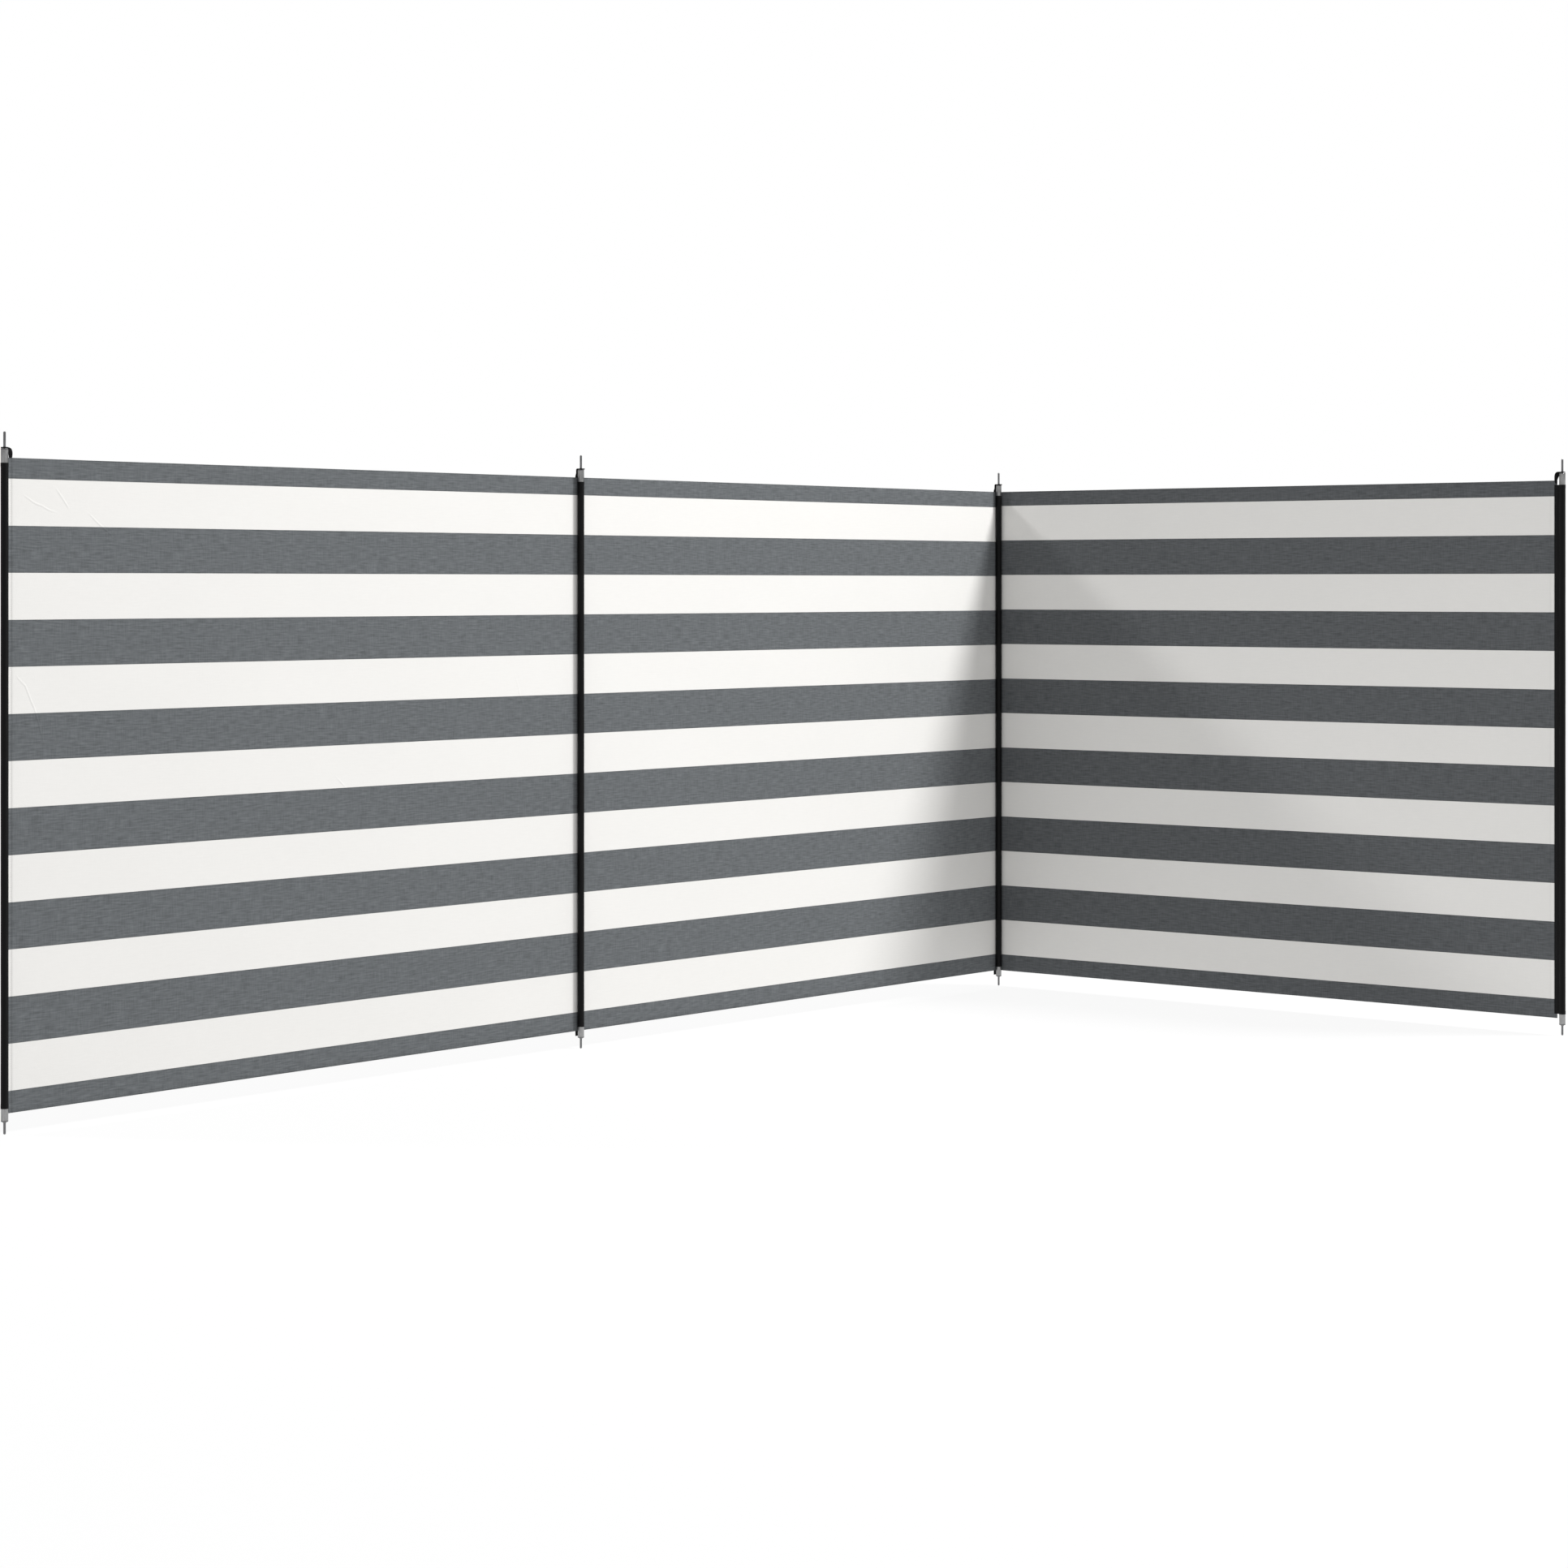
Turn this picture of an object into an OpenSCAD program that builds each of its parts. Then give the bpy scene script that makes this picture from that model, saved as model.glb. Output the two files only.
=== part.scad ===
// Beach windbreak: three bays of striped cloth on four steel poles.
// The right bay is turned forward at the corner pole, whose foot is the origin. +Z is up.
// The other two bays run in line along -X. Their front, where the poles stand, faces -Y.

/* [Layout] */
// Distance between neighbouring poles, axis to axis
bay = 1800; // [900:10:2400]
// How far the right bay is turned forward at the corner pole, in degrees
corner_turn = 90; // [0:1:115]

/* [Cloth] */
// Height of the cloth
cloth_h = 1400; // [700:10:1800]
// Thickness of the cloth
cloth_t = 1; // [0.6:0.1:2]
// Height of the turned hem along the top and bottom edges
hem_h = 9; // [5:0.5:10]
// Thickness that the hem adds to the back of the cloth
hem_t = 0.8; // [0.4:0.1:2]
// Gap between the cloth's free end and the sleeve of its end pole
end_gap = 0.75; // [0.3:0.05:3]
// Slit between two bays of cloth behind a middle pole, where they fold
fold_gap = 0.6; // [0.6:0.1:4]

/* [Pole] */
// Outer diameter of the steel tube
tube_d = 16; // [14:0.5:18]
// Wall of the steel tube
tube_wall = 1; // [0.6:0.1:2]
// How far the pole's foot stands below the cloth
foot_reach = 17; // [12:1:60]
// How far the pole's top stands above the cloth
top_reach = 20; // [15:1:60]
// Height of the plug's head that closes the tube
plug_head = 3; // [2:0.5:8]
// Depth of the plug inside the tube
plug_depth = 25; // [10:1:60]
// Rounding of the plug's outer edge
plug_edge = 1; // [0.5:0.1:1.5]
// Clearance of the plug inside the tube
plug_gap = 0.1; // [0.05:0.05:0.3]

/* [Pins] */
// Diameter of the pins at both ends of the pole
pin_d = 5.5; // [4:0.5:6]
// Length of the foot pin below the pole
foot_pin_len = 27; // [15:1:120]
// Length of the top pin above the pole
top_pin_len = 36; // [20:1:80]
// Height of the rounded tip of a pin
pin_tip = 1.5; // [0.5:0.1:2]
// Diameter of the weld collar at the root of a foot pin
collar_d = 9; // [7:0.5:10]
// Height of the weld collar
collar_h = 3; // [1:0.5:6]
// Diameter of the boss at the root of a top pin, which goes through the strap
boss_d = 7; // [6:0.5:9]

/* [Sleeve] */
// Thickness of the sleeve's cloth
sleeve_t = 0.5; // [0.4:0.1:1]
// Slack between the tube and the sleeve
sleeve_gap = 0.25; // [0.2:0.05:0.5]
// Distance from the cloth's edge to the sleeve's end
sleeve_inset = 11; // [9.5:0.5:40]
// How far the flat lap of an end sleeve reaches over the cloth
lap_over = 12.5; // [4:0.5:30]
// Clearance between a sewn piece and the cloth that carries it
sewn_gap = 0.15; // [0.1:0.05:0.3]
// Clearance round a middle pole's sleeve, where the cloth turns
turn_gap = 0.3; // [0.3:0.05:1]

/* [Straps] */
// Thickness of the webbing
strap_t = 3; // [1:0.25:3.5]
// Width of the webbing
strap_w = 13; // [12:0.5:25]
// How far a middle strap reaches past the axis of its pin
middle_strap_tip = 8; // [6:0.5:10]
// How far an end strap reaches past the axis of its pin
end_strap_tip = 5.5; // [5:0.5:10]
// Inner radius of the bend in a middle strap
middle_bend = 3; // [1:0.5:6]
// Inner radius of the arch in an end strap
end_bend = 9; // [4:0.5:12]
// Gap between an end strap's arch and its pole, along the bay
end_strap_out = 8.5; // [7:0.5:16]
// Clearance of the strap's hole round the boss
eye_gap = 0.3; // [0.1:0.1:0.5]
// How far a middle strap or tab is lapped down the back of the cloth
sewn_len = 25; // [12:1:80]
// Width of the flat tongue that an end strap is sewn by
tongue_w = 8; // [5:0.5:16]
// Distance from the pole's end to the lower edge of a tab
tab_rise = 4; // [0:0.5:12]

/* [Hidden] */
$fn = 48;
tube_r = tube_d / 2;
pin_r = pin_d / 2;
boss_r = boss_d / 2;
boss_h = strap_t + eye_gap;
spigot_r = tube_r - tube_wall - plug_gap;
pole_len = foot_reach + cloth_h + top_reach;
cloth_bottom = foot_reach;
cloth_top = cloth_bottom + cloth_h;
stripe_h = 100.8;
full_stripes = 2 * floor((cloth_h / stripe_h - 1) / 2) + 1;
edge_stripe_h = (cloth_h - full_stripes * stripe_h) / 2;
sleeve_in_r = tube_r + sleeve_gap;
sleeve_r = sleeve_in_r + sleeve_t;
sleeve_len = cloth_h - 2 * sleeve_inset;
sleeve_bottom = cloth_bottom + sleeve_inset;
cloth_end = sleeve_r + end_gap;
cloth_front = sleeve_r + turn_gap;
cloth_back = cloth_front + cloth_t;
cloth_plane = cloth_front + cloth_t / 2;
webbing_plane = cloth_back + hem_t + turn_gap;
tongue_plane = cloth_t / 2 + hem_t + sewn_gap;
lap_plane = cloth_t / 2 + sewn_gap;
end_strap_u = tube_r + end_strap_out;
overlap = 0.2;

cloth_grey = [0.42, 0.44, 0.45];
cloth_white = [0.94, 0.94, 0.92];
webbing_black = [0.07, 0.07, 0.08];
pole_steel = [0.68, 0.69, 0.70];
pin_steel = [0.50, 0.50, 0.51];

// Places of the poles. At an end pole +X points into the bay and +Y is the side its pieces are sewn on.
module right_bay() {
    rotate([0, 0, -corner_turn])
        children();
}

module at_left_end() {
    translate([-2 * bay, cloth_plane, 0])
        children();
}

module at_left_middle() {
    translate([-bay, 0, 0])
        children();
}

module at_right_end() {
    right_bay()
        translate([bay, cloth_plane, 0])
            rotate([0, 0, 180])
                children();
}

// One bay of cloth between two places along X: white and grey stripes, with what is left over as grey edges
module cloth(from, to) {
    for (i = [0 : full_stripes + 1]) {
        low = max(0, edge_stripe_h + (i - 1) * stripe_h);
        high = min(cloth_h, edge_stripe_h + i * stripe_h);
        color(i % 2 == 0 ? cloth_grey : cloth_white)
            translate([from, cloth_front, cloth_bottom + low])
                cube([to - from, cloth_t, high - low]);
    }
    for (low = [cloth_bottom, cloth_top - hem_h])
        color(cloth_grey)
            translate([from, cloth_back - overlap, low])
                cube([to - from, hem_t + overlap, hem_h]);
}

module left_cloth() {
    cloth(-2 * bay + cloth_end, -bay - fold_gap / 2);
}

module middle_cloth() {
    cloth(-bay + fold_gap / 2, -fold_gap / 2);
}

module right_cloth() {
    right_bay()
        cloth(fold_gap / 2, bay - cloth_end);
}

// Steel tube between the two plugs
module pole_tube() {
    color(pole_steel)
        translate([0, 0, plug_head])
            difference() {
                cylinder(r = tube_r, h = pole_len - 2 * plug_head);
                translate([0, 0, -overlap])
                    cylinder(r = tube_r - tube_wall, h = pole_len - 2 * plug_head + 2 * overlap);
            }
}

// Half section of a plug: its head, the spigot inside the tube and the pin with its root
function plug_section(pin_len, root_low_r, root_high_r, root_h) = [
    [0, -pin_len],
    [pin_r - pin_tip, -pin_len],
    [pin_r, pin_tip - pin_len],
    [pin_r, -root_h],
    [root_low_r, -root_h],
    [root_high_r, 0],
    [tube_r - plug_edge, 0],
    [tube_r, plug_edge],
    [tube_r, plug_head],
    [spigot_r, plug_head],
    [spigot_r, plug_head + plug_depth],
    [0, plug_head + plug_depth]
];

module foot_pin() {
    color(pin_steel)
        rotate_extrude()
            polygon(plug_section(foot_pin_len, pin_r + overlap, collar_d / 2, collar_h));
}

module top_pin() {
    color(pin_steel)
        translate([0, 0, pole_len])
            mirror([0, 0, 1])
                rotate_extrude()
                    polygon(plug_section(top_pin_len, boss_r, boss_r, boss_h));
}

// Round channel of cloth on the pole
module sleeve_ring() {
    difference() {
        circle(r = sleeve_r);
        circle(r = sleeve_in_r);
    }
}

module middle_sleeve() {
    color(webbing_black)
        translate([0, 0, sleeve_bottom])
            linear_extrude(sleeve_len)
                sleeve_ring();
}

// End sleeve: the channel and the flat lap that is sewn over the end of the cloth
module end_sleeve() {
    lap_start = sleeve_in_r + sleeve_t / 2;
    color(webbing_black)
        translate([0, 0, sleeve_bottom])
            linear_extrude(sleeve_len) {
                sleeve_ring();
                translate([lap_start, lap_plane])
                    square([cloth_end + lap_over - lap_start, sleeve_t]);
            }
}

// Side outline of a strap: along the pole's top from start, round a bend and down at out
module bent_band(start, out, bend, down) {
    translate([start, 0])
        square([out - bend - start, strap_t]);
    translate([out - bend, -bend])
        intersection() {
            difference() {
                circle(r = bend + strap_t);
                circle(r = bend);
            }
            square(bend + strap_t);
        }
    translate([out, -down])
        square([strap_t, down - bend]);
}

module eye() {
    translate([0, 0, pole_len - overlap])
        cylinder(d = boss_d + 2 * eye_gap, h = strap_t + 2 * overlap);
}

// Strap over a middle pole: an eye on the top pin, then down behind the cloth
module middle_strap() {
    color(webbing_black)
        difference() {
            translate([-strap_w / 2, 0, pole_len])
                rotate([90, 0, 90])
                    linear_extrude(strap_w)
                        bent_band(-middle_strap_tip, webbing_plane, middle_bend, top_reach + sewn_len);
            eye();
        }
}

// Strap over an end pole: an eye on the top pin, an arch into the bay and a flat tongue on the cloth
module end_strap() {
    band_end = top_reach - sewn_gap;
    color(webbing_black) {
        difference() {
            translate([0, strap_w / 2, pole_len])
                rotate([90, 0, 0])
                    linear_extrude(strap_w)
                        bent_band(-end_strap_tip, end_strap_u, end_bend, band_end);
            eye();
        }
        translate([end_strap_u + strap_t - tongue_w, tongue_plane, cloth_top - sleeve_inset + sewn_gap])
            cube([tongue_w, strap_t, sleeve_inset + strap_t]);
    }
}

// Tab behind the foot of a middle pole
module middle_tab() {
    color(webbing_black)
        translate([-strap_w / 2, webbing_plane, tab_rise])
            cube([strap_w, strap_t, foot_reach + sewn_len - tab_rise]);
}

left_cloth();
middle_cloth();
right_cloth();
at_left_end() pole_tube();  // left_end_tube
at_left_end() top_pin();  // left_end_top_pin
at_left_end() foot_pin();  // left_end_foot_pin
at_left_end() end_sleeve();  // left_end_sleeve
at_left_end() end_strap();  // left_end_strap
at_left_middle() pole_tube();  // left_middle_tube
at_left_middle() top_pin();  // left_middle_top_pin
at_left_middle() foot_pin();  // left_middle_foot_pin
at_left_middle() middle_sleeve();  // left_middle_sleeve
at_left_middle() middle_strap();  // left_middle_strap
at_left_middle() middle_tab();  // left_middle_tab
pole_tube();  // corner_tube
top_pin();  // corner_top_pin
foot_pin();  // corner_foot_pin
middle_sleeve();  // corner_sleeve
middle_strap();  // corner_strap
middle_tab();  // corner_tab
at_right_end() pole_tube();  // right_end_tube
at_right_end() top_pin();  // right_end_top_pin
at_right_end() foot_pin();  // right_end_foot_pin
at_right_end() end_sleeve();  // right_end_sleeve
at_right_end() end_strap();  // right_end_strap
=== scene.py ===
"""Beach windbreak: cloth, sleeves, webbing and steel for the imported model, and a studio to show it in.

The file is laid out as an add-on with one operator for each group of like pieces, and is run as a script.
Lengths are in metres. At an end post X points into the bay and Y to the side its pieces are sewn on.
"""

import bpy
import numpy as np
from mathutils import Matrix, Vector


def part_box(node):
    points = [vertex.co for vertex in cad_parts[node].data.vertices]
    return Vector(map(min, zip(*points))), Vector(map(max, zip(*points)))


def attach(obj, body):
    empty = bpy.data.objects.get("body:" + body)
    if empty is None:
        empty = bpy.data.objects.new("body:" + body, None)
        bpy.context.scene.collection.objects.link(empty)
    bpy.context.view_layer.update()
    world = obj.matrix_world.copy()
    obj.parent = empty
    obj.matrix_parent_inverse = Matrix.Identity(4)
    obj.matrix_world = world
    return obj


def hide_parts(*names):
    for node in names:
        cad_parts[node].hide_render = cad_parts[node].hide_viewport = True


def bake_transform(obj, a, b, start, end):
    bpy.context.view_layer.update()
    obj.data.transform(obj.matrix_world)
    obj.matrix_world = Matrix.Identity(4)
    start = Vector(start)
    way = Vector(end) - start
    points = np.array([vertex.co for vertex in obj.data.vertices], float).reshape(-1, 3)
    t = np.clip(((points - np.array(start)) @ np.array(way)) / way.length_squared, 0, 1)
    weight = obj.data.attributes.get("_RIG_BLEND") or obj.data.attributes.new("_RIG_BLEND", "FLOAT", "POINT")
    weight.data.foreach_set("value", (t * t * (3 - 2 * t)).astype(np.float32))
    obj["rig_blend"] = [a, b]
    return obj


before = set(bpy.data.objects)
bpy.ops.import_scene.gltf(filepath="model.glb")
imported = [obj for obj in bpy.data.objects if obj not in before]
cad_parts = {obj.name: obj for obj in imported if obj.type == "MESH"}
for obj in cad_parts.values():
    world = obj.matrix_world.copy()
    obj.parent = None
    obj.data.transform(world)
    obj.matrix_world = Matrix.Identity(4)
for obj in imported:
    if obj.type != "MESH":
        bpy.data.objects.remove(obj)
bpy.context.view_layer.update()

import math
from typing import NamedTuple

import bmesh
import bpy
from bpy.props import FloatProperty, FloatVectorProperty, IntProperty, PointerProperty
from mathutils import Matrix, Vector, noise

bl_info = {
    "name": "Beach Windbreak",
    "version": (1, 0, 0),
    "blender": (4, 5, 0),
    "location": "3D View > Sidebar > Windbreak",
    "description": "Dresses the windbreak in striped cloth, black webbing and steel, and sets up a studio",
    "category": "Object",
}

# Posts of the windbreak, from left to right, and the bodies that carry them
POST_BODIES = {
    "left_end": "left_bay",
    "left_middle": "middle_bay",
    "corner": "middle_bay",
    "right_end": "right_bay",
}
END_POSTS = ("left_end", "right_end")
MIDDLE_POSTS = ("left_middle", "corner")
RIGHT_END_TURN = math.pi / 2


def box_centre(node):
    low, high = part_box(node)
    return (low + high) / 2


# Places that the solids give
POSTS = {post: box_centre(f"{post}_tube") for post in POST_BODIES}
TUBE_LOW, TUBE_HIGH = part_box("corner_tube")
TUBE_RADIUS = (TUBE_HIGH.x - TUBE_LOW.x) / 2
# The foot plug's head starts at height 0, and the top plug's head is as tall
POLE_TOP = TUBE_HIGH.z + TUBE_LOW.z
SLEEVE_LOW, SLEEVE_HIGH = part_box("corner_sleeve")
SLEEVE_RADIUS = (SLEEVE_HIGH.x - SLEEVE_LOW.x) / 2
LAP_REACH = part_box("left_end_sleeve")[1].x - POSTS["left_end"].x
CLOTH_PLANE = POSTS["left_end"].y
CLOTH_BOTTOM, CLOTH_TOP = [corner.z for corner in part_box("middle_cloth")]
CLOTH_MIDDLE = (CLOTH_BOTTOM + CLOTH_TOP) / 2
LEFT_CLOTH_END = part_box("left_cloth")[0].x
RIGHT_CLOTH_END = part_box("right_cloth")[0].y
STRAP_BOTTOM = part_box("corner_strap")[0].z
TAB_LOW, TAB_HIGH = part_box("corner_tab")
WEBBING_WIDTH = TAB_HIGH.x - TAB_LOW.x
WEBBING_PLANE = TAB_LOW.y
FOOT_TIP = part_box("corner_foot_pin")[0].z

# The cloth is measured along the windbreak from the corner post's axis. It goes round the back of that post
# in a quarter turn, and is sewn to the sleeve half way round
CORNER_WRAP = CLOTH_PLANE * math.pi / 2
CORNER_SEAM = CORNER_WRAP / 2
SEAM_EDGE = 0.0005

# Thin clearances
CLOTH_GAP = 0.00065
STRAP_GAP = 0.0003


def length(name, description, default):
    """A property that holds a length."""
    return FloatProperty(
        name=name, description=description, default=default, unit="LENGTH", subtype="DISTANCE", precision=5
    )


def colour(name, description, default):
    """A property that holds a colour."""
    return FloatVectorProperty(
        name=name, description=description, default=default, size=3, subtype="COLOR", min=0.0, max=1.0
    )


def number(name, description, default):
    """A property that holds a plain number."""
    return FloatProperty(name=name, description=description, default=default)


def degrees(name, description, default):
    """A property that holds an angle, from its degrees."""
    return FloatProperty(
        name=name, description=description, default=math.radians(default), subtype="ANGLE", unit="ROTATION"
    )


def heading(name, description, default):
    """A property that holds a direction."""
    return FloatVectorProperty(name=name, description=description, default=default, size=3)


class WindbreakSizes(bpy.types.PropertyGroup):
    cloth_thickness: length("Cloth thickness", "Thickness of the striped cloth", 0.0005)
    cloth_pitch: length("Cloth mesh pitch", "Distance between the rows of the cloth's mesh", 0.0125)
    stripe_height: length("Stripe height", "Height of a full stripe", 0.1008)
    hem_height: length("Hem height", "Height of the turned hems along the top and bottom edges", 0.009)
    hem_fold: length("Hem fold", "Radius of the fold at a hem's edge", 0.00045)
    right_inset: length("Right inset", "How far the right bay's cloth stops short of the sleeve", 0.005)
    fold_reach: length("Fold reach", "Distance from a middle post's axis over which the cloth folds", 0.007)
    slack: length("Slack", "How far the taut cloth swells out of its plane", 0.0016)
    seam_place: length("Seam place", "Distance from an end post's axis to the seam on its cloth", 0.0168)
    seam_depth: length("Seam depth", "How deep the seam beside an end post is drawn in", 0.0011)
    seam_width: length("Seam width", "Half the width of the seam beside an end post", 0.0026)
    ridge_place: length("Ridge place", "Distance from the right end post to the ridge by its lap", 0.031)
    ridge_height: length("Ridge height", "Height of the ridge beside the right end's lap", 0.0005)
    crease_height: length("Crease height", "How far a sharp crease stands out of the cloth", 0.0007)
    crease_width: length("Crease width", "Half the width of a sharp crease", 0.0027)
    sleeve_wall: length("Sleeve wall", "Thickness of the sleeves' cloth", 0.00045)
    sleeve_hem: length("Sleeve hem", "Height of the turned hem at each end of a sleeve", 0.008)
    sleeve_wrinkle: length("Sleeve wrinkle", "Height of the wrinkles in the sleeves", 0.0002)
    webbing_thickness: length("Webbing thickness", "Thickness of the straps and tabs", 0.0028)
    stitch_pitch: length("Stitch pitch", "Distance from one stitch to the next", 0.004)
    stitch_length: length("Stitch length", "Length of one stitch", 0.003)
    thread: length("Thread", "Thickness of the sewing thread", 0.0006)


class WindbreakColours(bpy.types.PropertyGroup):
    stripe_grey: colour("Grey stripe", "Colour of the grey stripes", (0.131, 0.140, 0.147))
    # Painted shade: the right bay's grey is darker than the other bays' grey, for the shade that bay stands
    # in
    right_bay_shaded_grey: colour("Right bay's grey", "Colour of the right bay's grey stripes", (0.106, 0.112, 0.118))
    stripe_white: colour("White stripe", "Colour of the white stripes", (0.810, 0.800, 0.778))
    sleeve_black: colour("Sleeve black", "Colour of the sleeves", (0.0025, 0.0025, 0.0028))
    webbing_black: colour("Webbing black", "Colour of the straps and tabs", (0.0025, 0.0025, 0.0028))
    tube_steel: colour("Tube steel", "Colour of the steel tubes", (0.39, 0.39, 0.39))
    pin_steel: colour("Pin steel", "Colour of the pins and plugs", (0.21, 0.21, 0.215))
    floor_white: colour("Floor white", "Colour of the studio floor", (0.08, 0.08, 0.08))


class WindbreakStage(bpy.types.PropertyGroup):
    camera_place: FloatVectorProperty(
        name="Camera place", description="Where the camera stands", default=(-8.31838, -6.01495, 1.14641),
        size=3, subtype="TRANSLATION", unit="LENGTH"
    )
    camera_heading: degrees("Camera heading", "How far the camera is turned from the +Y direction", -50.6205)
    lens: number("Lens", "Focal length in millimetres", 80.375)
    image_size: IntProperty(
        name="Image size", description="Width and height of the picture", default=1932, subtype="PIXEL"
    )
    horizon_row: number("Horizon row", "Row of the picture that lies level with the camera", 720.156)
    key_travel: heading("Key direction", "Which way the key light travels", (-0.33, 0.62, -1.0))
    key_distance: length("Key distance", "How far the key light is from the corner post", 10.0)
    key_width: length("Key width", "Width of the round key light", 2.3)
    key_power: number("Key power", "Power of the key light in watts", 1140.0)
    fill_travel: heading("Fill direction", "Which way the fill light travels", (0.6, -1.14, -0.98))
    fill_strength: number("Fill strength", "Strength of the fill light", 1.0)
    fill_spread: degrees("Fill spread", "Angle that the soft fill light covers", 9)
    ambient: number("Ambient", "Strength of the light from all round", 0.42)
    floor_size: length("Floor size", "Width of the studio floor", 120.0)
    floor_glow: number("Floor glow", "Light that the floor gives by itself", 0.91)


# Shader helpers

def new_shader(name, values):
    """A new material, its node tree and its surface shader, which has the values on its own sockets."""
    material = bpy.data.materials.new(name)
    material.use_nodes = True
    surface = material.node_tree.nodes["Principled BSDF"]
    for key, value in values.items():
        surface.inputs[key].default_value = value
    return material, material.node_tree, surface


def add(tree, kind, inputs=None, **settings):
    """A new node with its settings. An input that is a socket is linked, and any other is a value."""
    node = tree.nodes.new("ShaderNode" + kind)
    for key, value in settings.items():
        setattr(node, key, value)
    for key, value in (inputs or {}).items():
        if isinstance(value, bpy.types.NodeSocket):
            tree.links.new(value, node.inputs[key])
        else:
            node.inputs[key].default_value = value
    return node


def maths(tree, operation, *values):
    """The result of a sum on sockets or numbers."""
    return add(tree, "Math", dict(enumerate(values)), operation=operation).outputs[0]


def plus(tree, first, second):
    return maths(tree, "ADD", first, second)


def minus(tree, first, second):
    return maths(tree, "SUBTRACT", first, second)


def times(tree, first, second):
    return maths(tree, "MULTIPLY", first, second)


def ramp(tree, value, low, high, out_low=0.0, out_high=1.0):
    """The value mapped smoothly from one range to another."""
    inputs = {"Value": value, "From Min": low, "From Max": high, "To Min": out_low, "To Max": out_high}
    return add(tree, "MapRange", inputs, interpolation_type="SMOOTHSTEP").outputs["Result"]


def grain(tree, vector, scale, detail=2.0):
    """Noise stretched by a scale along each direction."""
    stretched = add(tree, "VectorMath", {0: vector, 1: scale}, operation="MULTIPLY").outputs[0]
    inputs = {"Vector": stretched, "Scale": 1.0, "Detail": detail}
    return add(tree, "TexNoise", inputs).outputs[0]


def scaled(tree, tone, factor):
    """A colour made lighter or darker."""
    return add(tree, "VectorMath", {0: tone, "Scale": factor}, operation="SCALE").outputs[0]


def mixed(tree, factor, first, second):
    """A mix of two colours."""
    node = add(tree, "Mix", {0: factor, 6: first, 7: second}, data_type="RGBA")
    return node.outputs[2]


def ridges(tree, coordinate, pitch):
    """Even waves along a coordinate, from -1 to 1, with the given pitch."""
    return maths(tree, "SINE", times(tree, coordinate, 2 * math.pi / pitch))


def raise_surface(tree, surface, height):
    """Bump from a height in metres."""
    bump = add(tree, "Bump", {"Strength": 1.0, "Distance": 1.0, "Height": height})
    tree.links.new(bump.outputs[0], surface.inputs["Normal"])


def opaque(rgb):
    return (*rgb, 1.0)


# Materials

WEAVE_MAP = "weave"

# Striped cloth: the blur of a stripe's edge, the dark line inside it and the painted shade along the hems'
# folds
STRIPE_BLUR = 0.0004
STRIPE_LINE = 0.0026
FOLD_SHADE_START = 0.0035
FOLD_SHADE_END = 0.0015
YARN_PITCH = 0.0012


def weave_axes(tree):
    """The weave's map and its two directions."""
    weave = add(tree, "UVMap", uv_map=WEAVE_MAP).outputs[0]
    axes = add(tree, "SeparateXYZ", {0: weave})
    return weave, axes.outputs["X"], axes.outputs["Y"]


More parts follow.
